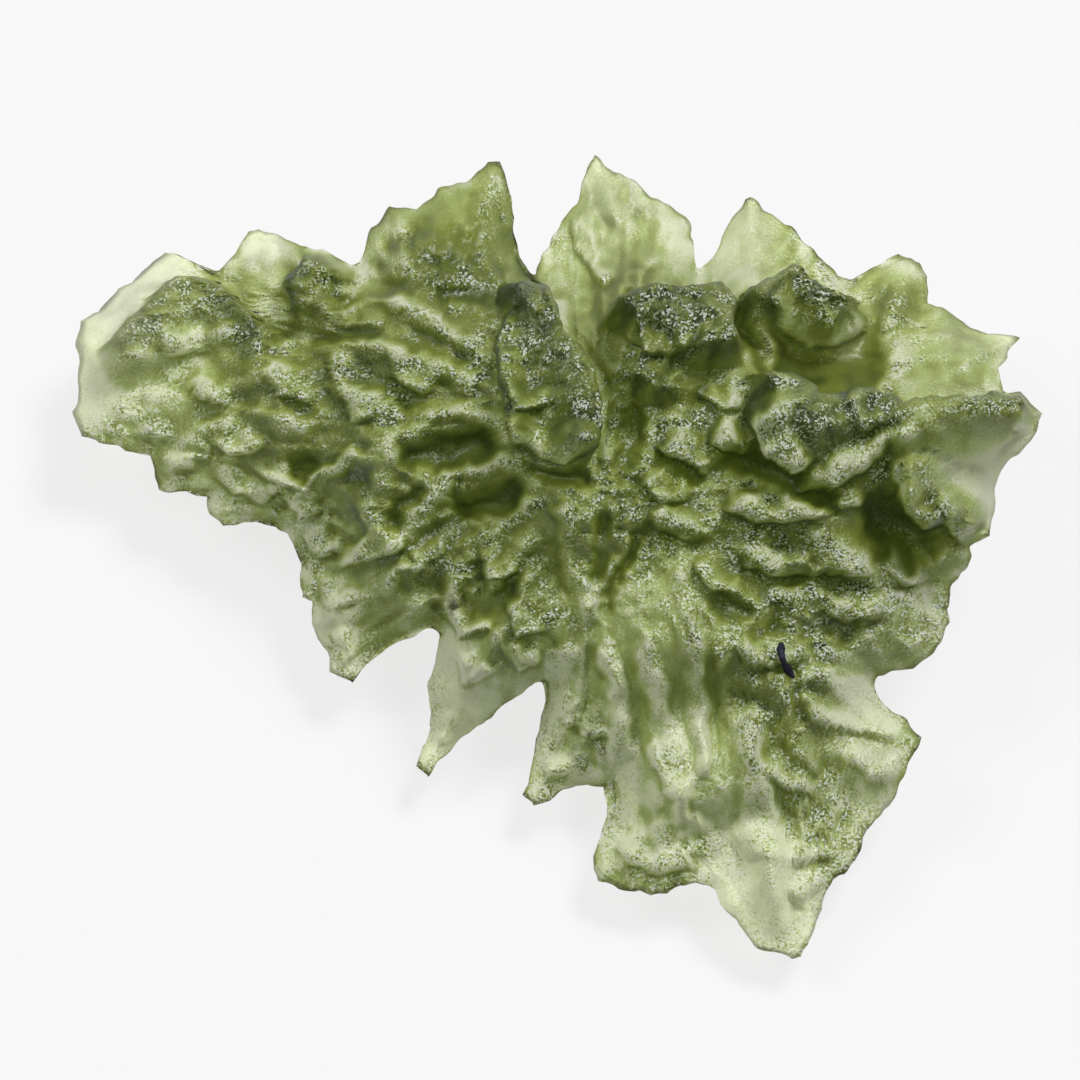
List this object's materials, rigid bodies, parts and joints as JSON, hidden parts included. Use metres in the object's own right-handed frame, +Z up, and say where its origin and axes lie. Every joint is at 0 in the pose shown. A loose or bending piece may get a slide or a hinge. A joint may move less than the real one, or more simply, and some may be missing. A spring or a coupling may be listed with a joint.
{
  "type": "etched natural glass specimen",
  "caption": "Thick toothed leaf of green natural glass, ribbed and pitted from a central hub, resting on a small flat underneath.",
  "frame": {"origin": "centre of the stone's bounding box in plan, at the level of the flat it rests on", "axes": "+X along the stone's longest width, +Y from the long lower tooth towards the back teeth, +Z up through its thickness"},
  "size_m": [0.029, 0.0256, 0.0116],
  "materials": {
    "moldavite_glass": "etched, half-matt translucent green"
  },
  "bodies": {
    "root": {"moldavite": "moldavite_glass"}
  },
  "joints": []
}
